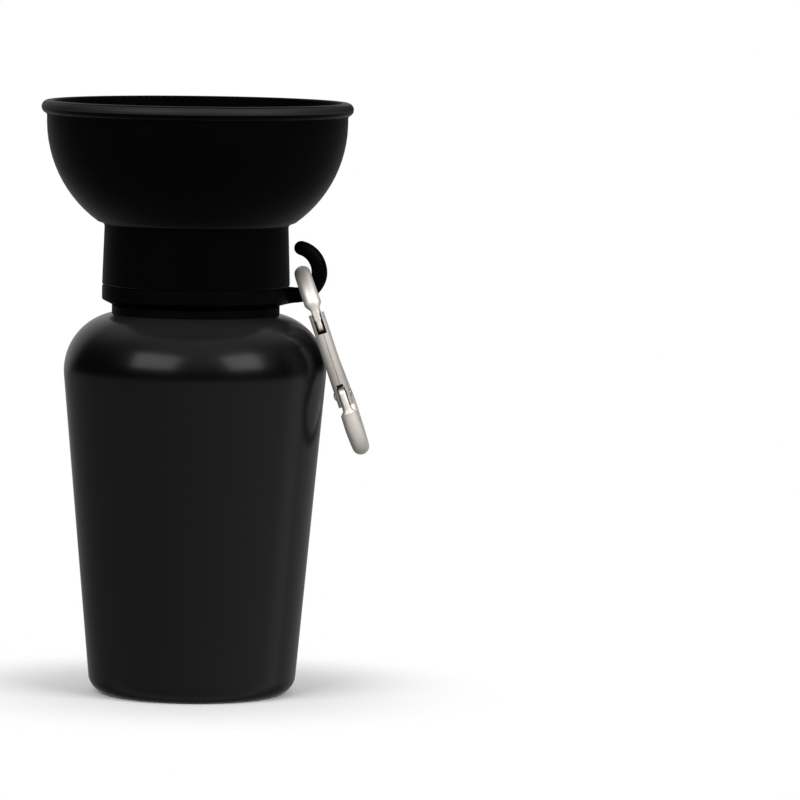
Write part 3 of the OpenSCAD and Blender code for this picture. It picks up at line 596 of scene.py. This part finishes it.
def makeGate(s, latchY):
    bm, bore = bmesh.new(), bmesh.new()
    length = s["gateTop"] + s["gateTail"]
    middle = Matrix.Translation((0, (s["gateTop"] - s["gateTail"]) / 2, 0)) @ Matrix.Rotation(math.radians(-90), 4, 'X')
    addCylinder(bm, s["gateR"], length, 48, middle)
    addCylinder(bore, s["gateBore"], length + 4, 32, middle)
    bm = cutAway(bm, bore)
    half, beyond = s["fork"] / 2, 6  # the cutters end well outside the tube
    slotLow = latchY - s["nose"][3] - s["nose"][0] - s["endGap"]
    notch, notchUp = s["notch"]
    seam, seamOut = s["seam"]
    cuts = (((-beyond, -s["gateTail"] - 2, -half), (beyond, s["tongue"][0] + s["tailGap"], half)),  # for the tongue
            ((-s["forkBack"], 1, -notch), (beyond, s["tongue"][0] + notchUp, notch)),
            ((-s["forkBack"], slotLow, -half), (beyond, s["gateTop"] + 2, half)))  # for the nose
    for low, high in cuts:
        cutter = bmesh.new()
        addBox(cutter, low, high)
        bm = cutAway(bm, cutter)
    cutter = bmesh.new()  # the seam where the folded edges meet, a thin bar turned on edge
    bar = addBox(cutter, (-seam, -1, -seam), (seam, latchY, seam))
    bmesh.ops.rotate(cutter, cent=(0, 0, 0), matrix=Matrix.Rotation(math.radians(45), 3, 'Y'), verts=bar)
    bmesh.ops.translate(cutter, vec=(s["gateR"] + seamOut, 0, 0), verts=bar)
    bm = cutAway(bm, cutter)
    bmesh.ops.dissolve_degenerate(bm, dist=0.005, edges=bm.edges)
    hard = [e for e in bm.edges if e.is_manifold and e.calc_face_angle() > math.radians(40)]
    softenEdges(bm, hard, s["gateRound"])
    for face in bm.faces:  # whatever lies inside the tube's skin is painted dark, as painted shade
        spot = face.calc_center_median()
        face.material_index = int(math.hypot(spot.x, spot.z) < s["gateR"] - 0.5)
    bmesh.ops.transform(bm, matrix=gatePlace(s), verts=bm.verts)
    makePiece("snap_hook_gate", bm, foldedAluminium, "carabiner_gate", ["carabiner_gate"],
              sharp=32, others=[paintedShadeAluminium])


def makePin(name, end, material, place, body, node):  # end: (radius, height) from the middle out to the tip, along Z
    bm = bmesh.new()
    drawProfile(bm, [(x, -z) for x, z in reversed(end)] + end)
    turnProfile(bm, 32)
    bmesh.ops.transform(bm, matrix=place, verts=bm.verts)
    makePiece(name, bm, material, body, [node], sharp=50)


def makeRivet(s):
    radius, half, (headR, headTall) = s["rivetR"], s["rivetHalf"], s["rivetHead"]
    end = [(radius, half), (headR, half)]
    end += [(headR * out, half + headTall * up) for out, up in ((1, 0.12), (0.88, 0.5), (0.55, 0.86), (0, 1))]
    makePin("gate_rivet_pin", end, drawnSteel, gatePlace(s), "carabiner", "gate_rivet")


def makeLatchPin(s, latchY):
    radius, half, dome = s["pinR"], s["pinHalf"], s["pinR"] * 0.35
    end = [(radius, half - dome), (radius * 0.6, half - dome * 0.3), (0, half)]
    place = gatePlace(s) @ Matrix.Translation((0, latchY, 0))
    makePin("gate_latch_pin", end, paintedShadeAluminium, place, "carabiner_gate", "latch_pin")


latchY = (hookSizes["pivotS"] - hookSizes["noseS"]) / math.cos(math.radians(hookSizes["fan"]))
makeHookFrame(hookSizes)
makeGate(hookSizes, latchY)
makeRivet(hookSizes)
makeLatchPin(hookSizes, latchY)

print("valve")
valveSizes = {
    "discR": 19.5, "discZ": 157.826, "topZ": 160.726, "portX": 12.0, "portR": 2.5,
    "spindleR": 4.0, "spindleZ": 147.626, "ringGroove": (155.426, 1.3, 1), "clipGroove": (149.226, 0.8, 1.1),
    "archZ": 165.0, "archR": 14.8, "archTall": 13.1, "sideTall": 0.6,
    "half": (2.45, 4.5), "crown": 2.2, "foot": (4.0, 0.8), "square": 0.45,  # the strap's half thickness and width
    # height above the disc, how far the foot has spread
    "spread": ((-1.2, 1.0), (0.0, 1.0), (1.0, 0.88), (2.2, 0.72), (3.4, 0.55), (4.4, 0.38)),
    "runOut": (3.5, 0.24, 0.2),
    "lug": (17.6, 1.0, 1.5), "lugAngle": 135}


def loopStations(s):  # a broad rounded strap, its feet spread on the disc
    side, stations, feet, count = Vector((0, 1, 0)), [], [], 40
    (strap, wide), straight = s["half"], s["sideTall"]
    run, thicker, wider = s["runOut"]
    spread, flare = s["foot"][0] - strap, s["foot"][1]
    for high, grown in s["spread"]:
        feet.append((s["topZ"] + high, strap + spread * grown, wide + flare * grown))
    for z, half, width in feet:
        stations.append(((-s["archR"], 0, z), (0, 0, 1), side, width, half, s["square"]))
    for i in range(count + 1):
        a = math.pi - math.pi * i / count
        point = Vector((s["archR"] * math.cos(a), 0, s["archZ"] + straight + (s["archTall"] - straight) * math.sin(a)))
        along = Vector((s["archR"] * math.sin(a), 0, -s["archTall"] * math.cos(a)))
        near = max(0, 1 - math.sin(a) * run)  # the foot's spread runs out in the side
        half = between(strap, s["crown"], math.sin(a) ** 2) + spread * thicker * near ** 1.5
        stations.append((point, along, side, wide + wider * near, half, s["square"]))
    for z, half, width in reversed(feet):
        stations.append(((s["archR"], 0, z), (0, 0, -1), side, width, half, s["square"]))
    return stations


def makeValve(s):
    bm = bmesh.new()
    spindle = s["spindleR"]
    ringZ, ringDeep, ringHalf = s["ringGroove"]
    clipZ, clipDeep, clipTall = s["clipGroove"]
    drawProfile(bm, [
        (0, s["spindleZ"]), (spindle, s["spindleZ"], 0.5), (spindle, clipZ), (spindle - clipDeep, clipZ),
        (spindle - clipDeep, clipZ + clipTall), (spindle, clipZ + clipTall), (spindle, ringZ - ringHalf),
        (spindle - ringDeep, ringZ - ringHalf), (spindle - ringDeep, ringZ + ringHalf), (spindle, ringZ + ringHalf),
        (spindle, s["discZ"]), (s["discR"], s["discZ"], 0.2), (s["discR"], s["topZ"], 0.7), (0, s["topZ"])])
    turnProfile(bm, 128)
    port = bmesh.new()
    addCylinder(port, s["portR"], 8, 48, Matrix.Translation((0, -s["portX"], s["topZ"] - 1.4)))
    bm = cutAway(bm, port)
    sweepRod(bm, loopStations(s))
    lugOut, lugR, lugTall = s["lug"]
    lugX, lugY = onCircle((0, 0), lugOut, s["lugAngle"])
    addCylinder(bm, lugR, lugTall, 24, Matrix.Translation((lugX, lugY, s["discZ"] - 0.25)))
    makePiece("valve_knob_loop", bm, handledPolypropylene, "valve", ["valve_knob"])


makeValve(valveSizes)

print("carried nodes")
paintNodes(finePolypropylene, ["screw_cap"])
paintNodes(naturalSilicone, ["mouth_gasket", "port_seal"])
paintNodes(milkyTube, ["dip_tube"])
paintNodes(matteSilicone, ["spindle_seal"])
# the plunger seen in the notch is painted dark, as painted shade
paintNodes(paintedShadeAluminium, ["gate_plunger"])
paintNodes(springSteel, ["gate_spring", "spring_washer", "spindle_clip"])

print("floor, light and camera")
studio = {
    "white": "#ffffff", "floorColour": "#f7f7f7", "floorR": 0.15, "fade": (0.045, 0.11),
    "ambient": (0.12, 0.48),  # from below, from above
    "sides": (0.65, 1.25),  # how bright the room is on the left, on the right
    # each: ((height 0 to 1, level), ...), (from y, to y, level there)
    "room": ((((0.0, 0.75), (0.2, 0.8), (0.3, 0.95), (0.4, 0.0)), (0.0, 0.5, 0.2)),  # floor
             (((0.3, 0.0), (0.4, 1.0), (0.45, 1.0), (0.485, 0.12), (0.5, 0.0)), (-0.6, 1.0, 0.3)),  # table edge
             (((0.5, 0.0), (0.54, 0.06), (0.62, 0.3), (0.72, 0.85), (0.8, 0.9), (0.9, 0.75), (1.0, 0.5)),
              (-0.5, 0.0, 0.05)),  # front wall
             (((0.5, 0.0), (0.72, 0.04), (0.82, 0.43), (0.9, 0.75), (1.0, 1.0)), (0.0, 1.0, 1.0))),  # ceiling
    # each: direction, cosine at the edge, cosine where it is full, level
    "patches": (((0.0, 1.0, 0.0), 0.93, 1.0, 0.62),  # backdrop straight behind
                ((-0.377, 0.892, 0.248), 0.88, 0.98, 0.65)),  # window behind on the left
    # each: direction, distance, size, watts
    "panels": (((-0.536, -0.674, 0.508), 1.5, (1.05, 0.72), 13.8), ((0.652, -0.577, 0.492), 1.5, (0.85, 0.72), 12.6),
               ((0.97, 0.22, 0.0), 1.0, (0.3, 1.1), 0.35), ((0.0, 0.25, 0.97), 1.4, (0.8, 0.8), 2.0)),
    "aim": (0, -0.03, 0.115),
    "camera": (0.07004, -1.972, 0.27551), "around": -1.2, "tilt": 84.95, "roll": 0.79, "lens": 261, "sensor": 36}


def makeFloor(s):
    material = newMaterial("pale studio floor")
    tree = material.node_tree
    place = addNode(tree, 'ShaderNodeTexCoord').outputs["Object"]
    path = addNode(tree, 'ShaderNodeLightPath')
    far = addNode(tree, 'ShaderNodeVectorMath', {"operation": 'LENGTH'}, {0: place})
    fade = addNode(tree, 'ShaderNodeMapRange', {"interpolation_type": 'SMOOTHSTEP'}, {
        "Value": far.outputs["Value"], "From Min": s["fade"][0], "From Max": s["fade"][1]})
    gone = addNode(tree, 'ShaderNodeMath', {"operation": 'MAXIMUM'}, {
        0: fade.outputs["Result"], 1: path.outputs["Is Glossy Ray"]})
    matt = addNode(tree, 'ShaderNodeBsdfDiffuse', {}, {"Color": hexToLinear(s["floorColour"])})
    clear = addNode(tree, 'ShaderNodeBsdfTransparent')
    mix = addNode(tree, 'ShaderNodeMixShader', {}, {
        0: gone.outputs["Value"], 1: matt.outputs["BSDF"], 2: clear.outputs["BSDF"]})
    addNode(tree, 'ShaderNodeOutputMaterial', {}, {"Surface": mix.outputs["Shader"]})
    bm = bmesh.new()
    bmesh.ops.create_circle(bm, cap_ends=True, segments=96, radius=s["floorR"])
    mesh = bpy.data.meshes.new("studio_floor")
    bm.to_mesh(mesh)
    bm.free()
    mesh.materials.append(material)
    floor = bpy.data.objects.new("studio_floor", mesh)
    scene.collection.objects.link(floor)


def roomLevel(tree, s, view, direction):  # how bright the dim room is that reflections see
    sides = addNode(tree, 'ShaderNodeMapRange', {}, {
        "Value": direction.outputs["X"], "From Min": -1, "From Max": 1,
        "To Min": s["sides"][0], "To Max": s["sides"][1]})
    height = addNode(tree, 'ShaderNodeMapRange', {}, {"Value": direction.outputs["Z"], "From Min": -1, "From Max": 1})
    lit = 0.0
    for stops, (near, far, faded) in s["room"]:
        ramp = addNode(tree, 'ShaderNodeValToRGB', {}, {"Fac": height.outputs["Result"]})
        while len(ramp.color_ramp.elements) < len(stops):
            ramp.color_ramp.elements.new(0.5)
        for stop, (place, level) in zip(ramp.color_ramp.elements, stops):
            stop.position, stop.color = place, (level, level, level, 1)
        depth = addNode(tree, 'ShaderNodeMapRange', {"interpolation_type": 'SMOOTHSTEP'}, {
            "Value": direction.outputs["Y"], "From Min": near, "From Max": far, "To Min": 1.0, "To Max": faded})
        lit = addNode(tree, 'ShaderNodeMath', {"operation": 'MULTIPLY_ADD'}, {
            0: ramp.outputs["Color"], 1: depth.outputs["Result"], 2: lit}).outputs["Value"]
    room = addNode(tree, 'ShaderNodeMath', {"operation": 'MULTIPLY'}, {0: sides.outputs["Result"], 1: lit})
    for toward, edge, middle, bright in s["patches"]:
        facing = addNode(tree, 'ShaderNodeVectorMath', {"operation": 'DOT_PRODUCT'}, {0: view, 1: toward})
        patch = addNode(tree, 'ShaderNodeMapRange', {"interpolation_type": 'SMOOTHSTEP'}, {
            "Value": facing.outputs["Value"], "From Min": edge, "From Max": middle, "To Min": 0, "To Max": bright})
        room = addNode(tree, 'ShaderNodeMath', {"operation": 'MAXIMUM'}, {
            0: room.outputs["Value"], 1: patch.outputs["Result"]})
    return room.outputs["Value"]


def makeWorld(s):
    world = bpy.data.worlds.new("studio")
    scene.world = world
    world.use_nodes = True
    tree = world.node_tree
    tree.nodes.clear()
    white = hexToLinear(s["white"])
    path = addNode(tree, 'ShaderNodeLightPath')
    view = addNode(tree, 'ShaderNodeTexCoord').outputs["Generated"]
    direction = addNode(tree, 'ShaderNodeSeparateXYZ', {}, {"Vector": view})
    strength = addNode(tree, 'ShaderNodeMix', {"data_type": 'FLOAT'}, {
        0: path.outputs["Is Glossy Ray"], 2: 1.0, 3: roomLevel(tree, s, view, direction)})
    backdrop = addNode(tree, 'ShaderNodeBackground', {}, {"Color": white, "Strength": strength.outputs[0]})
    above = addNode(tree, 'ShaderNodeMapRange', {}, {
        "Value": direction.outputs["Z"], "From Min": -1, "From Max": 1,
        "To Min": s["ambient"][0], "To Max": s["ambient"][1]})
    ambient = addNode(tree, 'ShaderNodeBackground', {}, {"Color": white, "Strength": above.outputs["Result"]})
    seen = addNode(tree, 'ShaderNodeMath', {"operation": 'MAXIMUM'}, {
        0: path.outputs["Is Camera Ray"], 1: path.outputs["Is Glossy Ray"]})
    seenOrClear = addNode(tree, 'ShaderNodeMath', {"operation": 'MAXIMUM'}, {
        0: seen.outputs["Value"], 1: path.outputs["Is Transmission Ray"]})
    mix = addNode(tree, 'ShaderNodeMixShader', {}, {
        0: seenOrClear.outputs["Value"], 1: ambient.outputs["Background"], 2: backdrop.outputs["Background"]})
    addNode(tree, 'ShaderNodeOutputWorld', {}, {"Surface": mix.outputs["Shader"]})


def makeLights(s):
    target = Vector(s["aim"])
    for number, (direction, distance, size, watts) in enumerate(s["panels"]):
        light = bpy.data.lights.new(f"soft_panel_{number}", 'AREA')
        light.shape, light.size, light.size_y, light.energy = 'RECTANGLE', size[0], size[1], watts
        lamp = bpy.data.objects.new(f"soft_panel_{number}", light)
        scene.collection.objects.link(lamp)
        lamp.location = target + Vector(direction) * distance
        lamp.rotation_euler = (lamp.location - target).to_track_quat('Z', 'Y').to_euler()


def makeCamera(s):
    camera = bpy.data.objects.new("camera", bpy.data.cameras.new("camera"))
    scene.collection.objects.link(camera)
    around = Matrix.Rotation(math.radians(s["around"]), 4, 'Z')
    camera.location = around @ Vector(s["camera"])
    tilt, roll = Matrix.Rotation(math.radians(s["tilt"]), 4, 'X'), Matrix.Rotation(math.radians(s["roll"]), 4, 'Z')
    camera.rotation_euler = (around @ tilt @ roll).to_euler()
    camera.data.lens, camera.data.sensor_width = s["lens"], s["sensor"]
    camera.data.clip_start, camera.data.clip_end = 0.05, 50
    scene.camera = camera


makeFloor(studio)
makeWorld(studio)
makeLights(studio)
makeCamera(studio)
